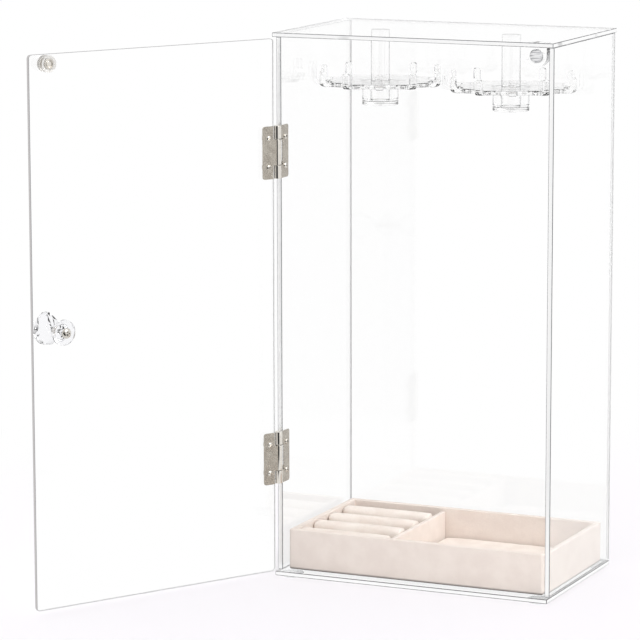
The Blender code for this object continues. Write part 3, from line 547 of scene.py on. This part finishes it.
def hook_disc(tip_radius, hook_height):
    """The whole moulding with the plate's underside at zero height."""
    rim = bmesh.new()
    bmesh.ops.create_circle(rim, cap_ends=True, radius=1.0, segments=HOOKS * 20)
    for vertex in rim.verts:
        lobe = math.cos(HOOKS * math.atan2(vertex.co.y, vertex.co.x) / 2) ** 4
        vertex.co *= tip_radius - HOOK_OVERHANG + LOBE * lobe
    draw_out(rim, rim.faces[:], (0, 0, PLATE))
    bmesh.ops.recalc_face_normals(rim, faces=rim.faces)
    round_edges(rim, 0.5 * MM, 3, [e for e in rim.edges if run(e, 2) < HAIR])
    hub = turned([(0, -DISC_LIFT), (HUB, -DISC_LIFT), (HUB, -HUB_FILLET), (HUB + HUB_FILLET, 0.1 * MM),
                  (0, 0.1 * MM)], 96)
    foot = [e for e in sharp_edges(hub) if all(v.co.z < -DISC_LIFT / 2 for v in e.verts)]
    round_edges(hub, 0.5 * MM, 3, foot)
    hooks = bmesh.new()
    single = one_hook(tip_radius, hook_height)
    bmesh.ops.translate(single, vec=(0, 0, (PLATE - HOOK_THICK) / 2), verts=single.verts)
    for number in range(HOOKS):
        copy = bpy.data.meshes.new("hook")
        single.to_mesh(copy)
        copy.transform(Matrix.Rotation(math.tau * number / HOOKS, 4, "Z"))
        hooks.from_mesh(copy)
        bpy.data.meshes.remove(copy)
    single.free()
    bore = rod(BORE, 60 * MM, steps=96)
    return shape_with(rim, [("UNION", hub), ("UNION", hooks), ("DIFFERENCE", bore)])


# %% [markdown]
# The disc's box gives the height of its hooks and the radius of their tips. The hook that comes closest
# to the Y axis stands a few degrees off it, and a corner of its tip reaches out furthest.

# %% Hook discs in their places
TIP_OFF_Y, TIP_CORNER = math.radians(7.5), 0.15 * MM
for side in SIDES:
    low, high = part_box(f"hook_disc_{side}")
    plate_z = low.z + DISC_LIFT
    tip_radius = (high.y - low.y) / 2 / math.cos(TIP_OFF_Y) - TIP_CORNER
    bm = hook_disc(tip_radius, high.z - plate_z - (PLATE - HOOK_THICK) / 2)
    to_rod = Matrix.Translation((ROD_X[side], 0, plate_z)) @ Matrix.Rotation(FIRST_HOOK, 4, "Z")
    disc = finish_piece(f"hook_disc_{side}", "clear", bm, MOULDED, at=to_rod, sharp=30)
    print(disc.name, len(disc.data.polygons), "faces, tips", round(tip_radius / MM, 1), "mm out")

# %% [markdown]
# The door knob is a clear crystal knob: a head cut in facets on a waisted neck with a round foot. Seen
# along its axis the head is a rounded triangle with a corner on top. Staggered rings of points are drawn
# in towards the top, and the convex hull of these points draws the facets by itself, like a cut stone.
# A ring is given by its shares of the knob's radius and length, and by its turn in steps. The neck and
# foot are turned, and a boolean joins the two.

# %% Knob
knob_low, knob_high = square_box("door_knob")
knob_centre = (knob_low + knob_high) / 2
KNOB_LONG, KNOB_WIDE = knob_high.y - knob_low.y, (knob_high.x - knob_low.x) / 2
POINTS = 12
HEAD_RINGS = ((0.50, 0.99, 0.0), (0.90, 0.88, 0.5), (1.0, 0.76, 0.0), (0.97, 0.64, 0.5), (0.60, 0.42, 0.0),
              (0.42, 0.34, 0.5))
HEAD_FROM, DRAWN_IN = 0.34, 0.26
NECK = ((0.76, 0), (0.76, 0.07), (0.70, 0.10), (0.46, 0.17), (0.41, 0.25), (0.40, 0.36), (0, 0.36))
gem = bmesh.new()
for share, height, shift in HEAD_RINGS:
    ring = bmesh.ops.create_circle(gem, radius=share * KNOB_WIDE, segments=POINTS)["verts"]
    turn = Matrix.Rotation(math.tau * shift / POINTS, 4, "Z")
    bmesh.ops.transform(gem, verts=ring, matrix=Matrix.Translation((0, 0, height * KNOB_LONG)) @ turn)
    for vertex in ring:
        upward = vertex.co.y / (share * KNOB_WIDE) + 1.0
        vertex.co.x *= 1.0 - DRAWN_IN * upward * min(1.0, (height - HEAD_FROM) / 0.3)
bmesh.ops.delete(gem, geom=gem.edges[:], context="EDGES_FACES")
bmesh.ops.convex_hull(gem, input=gem.verts)
bmesh.ops.recalc_face_normals(gem, faces=gem.faces)
round_edges(gem, 0.22 * MM, 2)
neck = turned([(0, 0), *((share * KNOB_WIDE, height * KNOB_LONG) for share, height in NECK)], 96)
foot = [e for e in sharp_edges(neck, 30) if all(v.co.z < 0.2 * KNOB_LONG for v in e.verts)]
round_edges(neck, 0.35 * MM, 3, foot)
bm = shape_with(gem, [("UNION", neck), ("DIFFERENCE", rod(2.1 * MM, 20 * MM, steps=48))])
# Painted shade: the knob's outline is painted grey, and its plastic a faint painted grey all through.
KNOB_ACRYLIC = moulded_acrylic("moulded_acrylic_knob", "#9C9DA1", (0.45, 0.90), 9 * MM, 0.01 * MM, 0.0, 1.42,
                               False, "#F8F8FA")
knob = finish_piece("door_knob", "crystal", bm, KNOB_ACRYLIC, sharp=12,
                    at=point_to((0, -1, 0), (knob_centre.x, knob_high.y, knob_centre.z)))
print(knob.name, len(knob.data.polygons), "faces,", round(KNOB_LONG / MM, 1), "mm long")

# %% [markdown]
# The hinges are small rolled butt hinges in satin nickel. Satin plating is a fine-grained metal: it
# mirrors the room, blurred, and its warm grey changes a little from place to place. Barrels, pins and
# screws are handled and rubbed, so they are brighter and smoother. These finishes share one function,
# where the grain's size and depth are real ones and drawn just coarse enough to show.

# %% Plated metal materials
def plated(name, colour, worn, roughness, grain=0.5 * MM, depth=0.004 * MM, blotch=5 * MM):
    """Plated steel whose colour drifts to `worn` in blotches."""
    material, tree, place = new_material(name)
    fine = add_node(tree, "TexNoise", Vector=place, Scale=1 / grain, Detail=3.0)
    broad = add_node(tree, "TexNoise", Vector=place, Scale=1 / blotch, Detail=4.0)
    drift = add_node(tree, "MapRange", Value=broad, From_Min=0.35, From_Max=0.65)
    tone = add_node(tree, "Mix", data_type="RGBA", Factor=drift, i6=linear(colour), i7=linear(worn))
    gloss = add_node(tree, "MapRange", Value=fine, From_Min=0.3, From_Max=0.7, To_Min=roughness * 0.8,
                     To_Max=roughness * 1.25)
    bump = add_node(tree, "Bump", Strength=0.6, Distance=depth, Height=fine)
    shader = add_node(tree, "BsdfPrincipled", Base_Color=tone, Metallic=1.0, Roughness=gloss, Normal=bump)
    add_node(tree, "OutputMaterial", Surface=shader)
    return material


NICKEL = plated("satin_nickel_plate", "#A8A197", "#B8B2A8", 0.26)
POLISHED = plated("polished_nickel_barrel", "#E6E2DB", "#DCD7CF", 0.05, depth=0.0003 * MM)
ZINC = plated("bright_zinc_screw", "#DDD9D2", "#C4BFB7", 0.12, grain=0.3 * MM, depth=0.001 * MM)
print("plated metals:", NICKEL.name, POLISHED.name, ZINC.name)

# %% [markdown]
# A hinge leaf is one strip rolled at its end into knuckles. It is built from what a fitter would name:
# the flat plate, a tongue that runs into each knuckle, and the knuckles, which stand a little proud of
# the plate, joined by booleans, then bored for the pin and drilled for the screws. A thin slot shows
# where the roll's end meets the plate. The side leaf is the same shape with X and Y swapped.

# %% Hinge leaf shape
leaf_low, leaf_high = square_box("hinge_upper_door_leaf")
LEAF_TALL, LEAF_LONG = leaf_high.z - leaf_low.z, leaf_high.x - AXIS.x
BARREL, LEAF, LEAF_TOP, PIN, PIN_BORE = 3.05 * MM, 0.5 * MM, 2.45 * MM, 1.2 * MM, 1.45 * MM
KNUCKLE, JOINT_GAP = 17.6 * MM, 0.3 * MM
PLATE_FROM, TONGUE = 4.4 * MM, 4.6 * MM
SLOT_AT, SLOT_LONG, SLOT_WIDE = 2.6 * MM, 1.0 * MM, 0.12 * MM
SCREW_AT, SCREW_RISE, SCREW_HOLE = 8.5 * MM, 10.0 * MM, 1.55 * MM


def hinge_leaf(knuckles):
    """A leaf whose plate lies along X, with knuckles between pairs of heights."""
    half_way = LEAF_TOP - LEAF / 2
    plate = block((LEAF_LONG - PLATE_FROM, LEAF, LEAF_TALL), ((LEAF_LONG + PLATE_FROM) / 2, half_way, 0))
    corners = [e for e in plate.edges if all(v.co.x > LEAF_LONG - HAIR for v in e.verts) and run(e, 2) < HAIR]
    round_edges(plate, 1.8 * MM, 8, corners)
    changes = []
    for low, high in knuckles:
        middle, tall = (low + high) / 2, high - low
        tongue = block((TONGUE, LEAF, tall), (TONGUE / 2, half_way, middle))
        knuckle = rod(BARREL, tall, Matrix.Translation((0, 0, middle)))
        round_edges(knuckle, 0.3 * MM, 2)
        slot = block((SLOT_LONG, SLOT_WIDE, tall * 1.1), (SLOT_AT, LEAF_TOP - LEAF - SLOT_WIDE / 2, middle))
        changes += [("UNION", tongue), ("UNION", knuckle), ("DIFFERENCE", slot)]
    changes.append(("DIFFERENCE", rod(PIN_BORE, LEAF_TALL * 1.2, steps=32)))
    for rise in (SCREW_RISE, -SCREW_RISE):
        hole = rod(SCREW_HOLE, 6 * MM, point_to((0, 1, 0), (SCREW_AT, LEAF_TOP, rise)), 32)
        changes.append(("DIFFERENCE", hole))
    bm = shape_with(plate, changes)
    for face in bm.faces:
        centre = face.calc_center_median()
        face.material_index = 1 if math.hypot(centre.x, centre.y) < BARREL * 1.01 else 0
    return bm


# %% [markdown]
# The door leaf has the middle knuckle and the side leaf the outer two, with a pin through all three.

# %% Hinge leaves and pins
middle = KNUCKLE / 2
start = middle + JOINT_GAP
swap = Matrix.Rotation(QUARTER, 4, "Z") @ Matrix.Rotation(2 * QUARTER, 4, "X")
hinge_heights = {}
for end in ("upper", "lower"):
    low, high = square_box(f"hinge_{end}_door_leaf")
    hinge_heights[end] = (low.z + high.z) / 2
    at_hinge = Matrix.Translation((AXIS.x, AXIS.y, hinge_heights[end]))
    bm = hinge_leaf([(-middle, middle)])
    finish_piece(f"hinge_{end}_door_leaf", "rolled", bm, NICKEL, POLISHED, at=at_hinge)
    bm = hinge_leaf([(start, LEAF_TALL / 2), (-LEAF_TALL / 2, -start)])
    finish_piece(f"hinge_{end}_side_leaf", "rolled", bm, NICKEL, POLISHED, at=at_hinge @ swap)
    bm = rod(PIN, LEAF_TALL, at_hinge, 32)
    round_edges(bm, 0.3 * MM, 3)
    finish_piece(f"hinge_{end}_pin", "turned", bm, POLISHED)
print("hinges at heights", {end: round(height, 4) for end, height in hinge_heights.items()})

# %% [markdown]
# Small machine screws hold the leaves: a domed head with a cross recess, a threaded shank and a hex nut
# on the sheet's outer face. The thread is drawn as rings, because a true helix of half a millimetre
# pitch would look the same at this size. The nut is a hexagon whose corners are cut by a cone.

# %% Screw and nut shapes
def screw(shank, head, head_tall, length, recess, pitch=0.5 * MM):
    """A screw along Z, its head's underside at zero and its crown on top."""
    core, tip, arm = shank * 0.86, 0.3 * MM, recess * 0.24
    crown = [(head * math.sin(t), head_tall * math.cos(t)) for t in (math.radians(10 * n) for n in range(10))]
    thread = [(shank, -tip)]
    height = -0.5 * MM
    while height - pitch > -length + tip:
        thread += [(shank, height), (core, height - pitch / 2)]
        height -= pitch
    bm = turned([*crown, *thread, (core, -length + tip), (shank * 0.6, -length), (0, -length)], 48)
    cuts = [("DIFFERENCE", block((*arms, head_tall * 1.2), (0, 0, head_tall * 1.1)))
            for arms in ((recess, arm), (arm, recess))]
    return shape_with(bm, cuts)


def hex_nut(corner, tall, hole):
    """A hexagonal nut about the origin with chamfered corners."""
    half, flat, rim, chamfer = tall / 2, corner * 0.87, corner * 1.01, 0.3 * MM
    cone = turned([(0, -half), (flat, -half), (rim, -half + chamfer), (rim, half - chamfer), (flat, half),
                   (0, half)], 48)
    bore = rod(hole, tall * 2, steps=32)
    return shape_with(rod(corner, tall, steps=6), [("INTERSECT", cone), ("DIFFERENCE", bore)])


# %% [markdown]
# Each leaf has two screws, and each screw a nut. The plate's face lies lower than its solid's, so the
# heads sit lower by as much, and the shanks are shorter. Nobody lines up the crosses, so the top and the
# bottom screw are turned differently. One more, thicker screw holds the knob.

# %% Screws and nuts
HEAD, HEAD_TALL, SHANK = 2.1 * MM, 1.2 * MM, 1.25 * MM
NUT, NUT_BORE = 2.9 * MM, 1.55 * MM
SOLID_SEAT = 3.3 * MM
SUNK = SOLID_SEAT - LEAF_TOP
KNOB_HEAD_TALL, KNOB_SHANK, KNOB_RECESS, KNOB_PITCH = 1.7 * MM, 1.8 * MM, 3.4 * MM, 0.7 * MM
for end in ("upper", "lower"):
    for leaf, facing in (("door", Vector((0, 1, 0))), ("side", Vector((1, 0, 0)))):
        for place, slant in (("top", 35), ("bottom", 12)):
            name = f"hinge_{end}_{leaf}_{place}"
            low, high = square_box(f"{name}_screw")
            long = (high - low).dot(facing)
            seat = (low + high) / 2 + facing * (long / 2 - SUNK) - facing * HEAD_TALL
            length = long - HEAD_TALL - SUNK
            at = point_to(facing, seat) @ Matrix.Rotation(math.radians(slant), 4, "Z")
            finish_piece(f"{name}_screw", "cross", screw(SHANK, HEAD, HEAD_TALL, length, HEAD), ZINC, at=at)
            low, high = square_box(f"{name}_nut")
            bm = hex_nut(NUT, (high - low).dot(facing), NUT_BORE)
            finish_piece(f"{name}_nut", "hex", bm, ZINC, at=point_to(facing, (low + high) / 2))
low, high = square_box("knob_screw")
head, knob_length = (high.x - low.x) / 2, high.y - low.y - KNOB_HEAD_TALL
bm = screw(KNOB_SHANK, head, KNOB_HEAD_TALL, knob_length, KNOB_RECESS, KNOB_PITCH)
seat = Vector(((low.x + high.x) / 2, high.y - KNOB_HEAD_TALL, (low.z + high.z) / 2))
finish_piece("knob_screw", "cross", bm, ZINC, at=point_to((0, 1, 0), seat))
print("screw length under the head", round(length / MM, 1), "mm")

# %% [markdown]
# The door closes on a magnet. A clear cup on the door holds a ring magnet with a button in it, and a
# clear block under the top plate holds a bar of magnet that was ground, so it shows streaks. Cup and
# magnet are turned shapes. The block is a plate with a round lower end and a hole for the magnet.

# %% Magnet material
def ground_magnet(name, colour, streak_colour, streak=0.5 * MM):
    """Plated magnet steel with grinding streaks across its height."""
    material, tree, place = new_material(name)
    stretch = add_node(tree, "Mapping", Vector=place, Scale=(0.08, 0.08, 1.0))
    lines = add_node(tree, "TexNoise", Vector=stretch, Scale=1 / streak, Detail=2.0)
    mask = add_node(tree, "MapRange", Value=lines, From_Min=0.42, From_Max=0.58)
    tone = add_node(tree, "Mix", data_type="RGBA", Factor=mask, i6=linear(colour), i7=linear(streak_colour))
    bump = add_node(tree, "Bump", Strength=0.5, Distance=0.01 * MM, Height=lines)
    shader = add_node(tree, "BsdfPrincipled", Base_Color=tone, Metallic=1.0, Roughness=0.3, Normal=bump)
    add_node(tree, "OutputMaterial", Surface=shader)
    return material


MAGNET = ground_magnet("ground_magnet_steel", "#A3A4A7", "#F2F2F3")
# Painted shade: the cup's outline is painted grey, and its plastic a pale painted grey all through.
CUP_ACRYLIC = moulded_acrylic("moulded_acrylic_cup", "#B9B6B1", (0.25, 0.80), 3 * MM, 0.02 * MM, 0.05, 1.30,
                              False, "#E9E7E4")
print("catch:", MAGNET.name, CUP_ACRYLIC.name)

# %% [markdown]
# The cup and the ring magnet lie along the Y axis of the shut door, with their open ends towards the
# case. The ring, its button and the groove between them are one outline. Button and groove are polished.

# %% Magnet cup and ring magnet
CUP_FLOOR, CUP_BORE = 1.5 * MM, 3.8 * MM
low, high = square_box("door_magnet_cup")
wide, tall = (high.x - low.x) / 2, high.y - low.y
bm = turned([(0, 0), (wide, 0), (wide, tall), (CUP_BORE, tall), (CUP_BORE, CUP_FLOOR), (0, CUP_FLOOR)])
round_edges(bm, 0.3 * MM)
centre = (low + high) / 2
finish_piece("door_magnet_cup", "clear", bm, CUP_ACRYLIC, at=point_to((0, 1, 0), (centre.x, low.y, centre.z)))
low, high = square_box("door_magnet")
wide, tall = (high.x - low.x) / 2, high.y - low.y
groove, button = tall - 0.7 * MM, tall - 0.2 * MM
bm = turned([(0, 0), (wide, 0), (wide, tall), (2.5 * MM, tall), (2.4 * MM, groove), (1.9 * MM, groove),
             (1.8 * MM, button), (0, button)])
round_edges(bm, 0.15 * MM)
for face in bm.faces:
    flat = face.calc_center_median()
    face.material_index = 1 if math.hypot(flat.x, flat.y) < 2.45 * MM and flat.z > 0.5 * MM else 0
centre = (low + high) / 2
finish_piece("door_magnet", "ring", bm, ZINC, POLISHED, at=point_to((0, 1, 0), (centre.x, low.y, centre.z)))
print("ring magnet", round(2 * wide / MM, 1), "mm wide")

# %% [markdown]
# Under the top plate, the holder's straight sides run down to its round nose, which has the magnet's
# own middle.

# %% Case magnet and its holder
low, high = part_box("case_magnet")
magnet_centre, magnet_hole = (low + high) / 2, (high.x - low.x) / 2 + 0.3 * MM
at_magnet = point_to((0, 1, 0), magnet_centre)
bm = rod((high.x - low.x) / 2, high.y - low.y, at_magnet)
round_edges(bm, 0.3 * MM)
finish_piece("case_magnet", "ground", bm, MAGNET)
low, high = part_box("case_magnet_holder")
wide, deep = (high.x - low.x) / 2, high.y - low.y
bm = block((2 * wide, deep, high.z - magnet_centre.z),
           (magnet_centre.x, magnet_centre.y, (high.z + magnet_centre.z) / 2))
nose, hole = rod(wide, deep, at_magnet), rod(magnet_hole, 2 * deep, at_magnet)
bm = shape_with(bm, [("UNION", nose), ("DIFFERENCE", hole)])
finish_piece("case_magnet_holder", "clear", bm, ROD_ACRYLIC)
print("catch at height", round(magnet_centre.z, 4))

# %% [markdown]
# Four clear rubber bumpers keep the base plate off the table. Soft clear rubber is less bright than the
# acrylic and slightly milky, so its transmission is rough. A bumper is a turned dome with a flat foot.

# %% Feet
RUBBER, tree, place = new_material("clear_rubber_bumper")
cloudy = add_node(tree, "TexNoise", Vector=place, Scale=1 / (1.5 * MM), Detail=2.0)
haze = add_node(tree, "MapRange", Value=cloudy, From_Min=0.3, From_Max=0.7, To_Min=0.15, To_Max=0.3)
# Painted shade: the rubber's colour turns greyer where it is seen at a glancing angle, a painted outline.
glance = add_node(tree, "LayerWeight", Blend=0.4)
tone = add_node(tree, "Mix", data_type="RGBA", Factor=glance.outputs["Facing"], i6=linear("#F4F5F6"),
                i7=linear("#DADBDC"))
shader = add_node(tree, "BsdfPrincipled", Base_Color=tone, IOR=1.41, Roughness=haze, Transmission_Weight=1.0)
clear_surface(tree, shader)
for foot in ("foot_front_left", "foot_front_right", "foot_back_left", "foot_back_right"):
    low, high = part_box(foot)
    radius, tall = (high.x - low.x) / 2, high.z - low.z
    bm = turned([(0, 0), (radius * 0.93, 0), (radius, tall * 0.55), (radius, tall), (0, tall)])
    centre = (low + high) / 2
    finish_piece(foot, "bumper", bm, RUBBER, at=Matrix.Translation((centre.x, centre.y, low.z)), sharp=50)
print("feet", round(2 * radius / MM, 1), "mm wide")

# %% [markdown]
# The tray is board covered with cream velvet. Velvet is a dense pile: seen straight on it is soft and
# matt, seen along the surface its fibre tips catch the light, which is what Sheen gives. The colour
# drifts where the pile was brushed another way, and a fine noise of about a third of a millimetre, as
# coarse as the render can show, stands for the tufts. Along the shell's foot, where the tray stands on the
# base plate, a painted contact shadow darkens the cloth. One function makes the shell's cloth and the
# padding's, which is painted lighter for the light on the tops of rolls and pad.

# %% Velvet material
# How far the painted contact shadow fades out above the shell's underside.
PAINTED_SHADOW_RISE = 1.9 * MM


def velvet(name, colour, brushed, painted_shadow_from=None, tuft=0.35 * MM, pile=0.12 * MM, brush=14 * MM):
    """Short-pile velvet, `brushed` where the pile lies the other way, with a painted contact shadow fading
    out above a given height.
    """
    material, tree, place = new_material(name)
    tufts = add_node(tree, "TexNoise", Vector=place, Scale=1 / tuft, Detail=2.0, Roughness=0.6)
    strokes = add_node(tree, "TexNoise", Vector=place, Scale=1 / brush, Detail=3.0, Roughness=0.55)
    lie = add_node(tree, "MapRange", Value=strokes, From_Min=0.38, From_Max=0.62)
    tone = add_node(tree, "Mix", data_type="RGBA", Factor=lie, i6=linear(colour), i7=linear(brushed))
    tufts_and_painted_shadow = add_node(tree, "MapRange", Value=tufts, From_Min=0.3, From_Max=0.7, To_Min=0.93, To_Max=1.05)
    # Painted contact shadow: black at the given height, fading out above it.
    if painted_shadow_from is not None:
        height = add_node(tree, "SeparateXYZ", Vector=place).outputs["Z"]
        under = add_node(tree, "MapRange", Value=height, From_Min=painted_shadow_from, From_Max=painted_shadow_from + PAINTED_SHADOW_RISE)
        tufts_and_painted_shadow = add_node(tree, "Math", operation="MULTIPLY", i0=tufts_and_painted_shadow, i1=under)
    shade = add_node(tree, "VectorMath", operation="SCALE", i0=tone, Scale=tufts_and_painted_shadow)
    bump = add_node(tree, "Bump", Strength=0.7, Distance=pile, Height=tufts)
    shader = add_node(tree, "BsdfPrincipled", Base_Color=shade, Roughness=0.95, Specular_IOR_Level=0.15,
                      Sheen_Weight=0.35, Sheen_Roughness=0.45, Sheen_Tint=linear("#FFF6EE"), Normal=bump)
    add_node(tree, "OutputMaterial", Surface=shader)
    return material


# The shell gets the painted contact shadow from its underside up.
SHELL_VELVET = velvet("cream_velvet_shell", "#E6DAD2", "#EBE0D8", painted_shadow_from=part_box("tray_shell")[0].z)
VELVET = velvet("cream_velvet_divider", "#E6DAD2", "#EBE0D8")
# Painted light: the padding is the shell's velvet painted lighter, for the light on the tops of rolls and
# pad.
PADDING_PAINTED_LIGHTER = velvet("cream_velvet_padding_painted_lighter", "#EBDFD6", "#F1E8E0")
print("velvets:", SHELL_VELVET.name, VELVET.name, PADDING_PAINTED_LIGHTER.name)

# %% [markdown]
# Shell and divider are boards under cloth, so their shapes are boxes whose edges the wrapped velvet
# rounds. The shell is a block with a pocket cut from it. Every edge is bevelled by the cloth's
# thickness, and the outer corners turn on a larger radius, as cloth does when it goes round a corner.

# %% Tray shell and divider
TRAY_WALL, TRAY_FLOOR, CLOTH, CORNER = 4.0 * MM, 3.0 * MM, 0.9 * MM, 1.6 * MM
low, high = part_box("tray_shell")
size, centre = high - low, (low + high) / 2
outer = block(size, centre)
round_edges(outer, CORNER, 6, [e for e in outer.edges if run(e, 2) > 1 * MM])
pocket = block(size - Vector((2 * TRAY_WALL, 2 * TRAY_WALL, 0)), centre + Vector((0, 0, TRAY_FLOOR)))
bm = shape_with(outer, [("DIFFERENCE", pocket)])
round_edges(bm, CLOTH, 4, [e for e in sharp_edges(bm, 60) if e.calc_face_angle_signed() > 0])
finish_piece("tray_shell", "velvet", bm, SHELL_VELVET, sharp=60)
low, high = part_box("tray_divider")
bm = block(high - low, (low + high) / 2)
round_edges(bm, CLOTH, 4)
finish_piece("tray_divider", "velvet", bm, VELVET, sharp=60)
print("tray", [round(v / MM, 1) for v in size], "mm")

# %% [markdown]
# The ring rolls and the pad are foam in velvet. Their fullness comes from a short cloth simulation: a
# slightly smaller copy of the solid is remeshed into even squares, blown up by pressure without gravity
# for twenty frames, and held back to a small distance and to the solid's own room, which for the rolls
# reaches a little above the solid. The cloth is applied to the mesh, and one subdivision smooths it.

# %% Foam swelled by a cloth simulation
def swell(name, node, shrink, voxel, reach, rounding, proud=0.0):
    """A padded copy of a solid, blown up inside the solid's own room and `proud` above it."""
    low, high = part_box(node)
    high.z += proud
    size, centre = high - low, (low + high) / 2
    bm = block(size - Vector((2 * shrink, 2 * shrink, shrink)), centre - Vector((0, 0, shrink / 2)))
    round_edges(bm, rounding, 4, [e for e in bm.edges if min(v.co.z for v in e.verts) > centre.z
                                  and run(e, 0) > 1 * MM])
    ends = [e for e in sharp_edges(bm) if max(v.co.z for v in e.verts) > centre.z]
    round_edges(bm, min(rounding, 1.2 * MM), 3, ends)
    obj = add_object(name, bm)
    remesh = obj.modifiers.new("even_squares", "REMESH")
    remesh.mode, remesh.voxel_size = "VOXEL", voxel
    graph = bpy.context.evaluated_depsgraph_get()
    even = bpy.data.meshes.new_from_object(obj.evaluated_get(graph), depsgraph=graph)
    obj.modifiers.clear()
    rough, obj.data = obj.data, even
    bpy.data.meshes.remove(rough)
    start = [v.co.copy() for v in even.vertices]
    cloth = obj.modifiers.new("blow_up", "CLOTH").settings
    cloth.quality, cloth.mass = 6, 0.2
    cloth.use_pressure, cloth.uniform_pressure_force = True, 4.0
    cloth.tension_stiffness = cloth.compression_stiffness = 12.0
    cloth.effector_weights.gravity = 0.0
    scene = bpy.context.scene
    for number in range(1, 21):
        scene.frame_set(number)
    graph = bpy.context.evaluated_depsgraph_get()
    blown = obj.evaluated_get(graph).to_mesh()
    moves = [after.co - before for after, before in zip(blown.vertices, start)]
    obj.modifiers.clear()
    scene.frame_set(1)
    for vertex, before, shift in zip(even.vertices, start, moves):
        vertex.co = before + shift * min(1.0, reach / max(shift.length, reach * 0.001))
    for vertex in even.vertices:
        vertex.co = Vector([min(max(c, l), h) for c, l, h in zip(vertex.co, low, high)])
    return obj


def finish_padding(obj, node):
    obj.data.shade_smooth()
    obj.data.materials.append(PADDING_PAINTED_LIGHTER)
    smooth = obj.modifiers.new("smooth", "SUBSURF")
    smooth.levels = smooth.render_levels = 1
    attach(obj, frame["nodes"][node]["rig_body"])
    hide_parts(node)
    print(obj.name, len(obj.data.vertices), "points")


# %% [markdown]
# Four rolls leave the ring slots beside them, and a flatter pad fills the open compartment.

# %% Ring rolls and pad
for number in range(1, 5):
    node = f"ring_roll_{number}"
    roll = swell(f"{node}_padded", node, 0.4 * MM, 1.3 * MM, 0.9 * MM, 3.4 * MM, 1.9 * MM)
    finish_padding(roll, node)
pad = swell("tray_pad_padded", "tray_pad", 0.5 * MM, 2.0 * MM, 0.8 * MM, 1.5 * MM)
finish_padding(pad, "tray_pad")

# %% View transform
bpy.context.scene.view_settings.view_transform = "Standard"
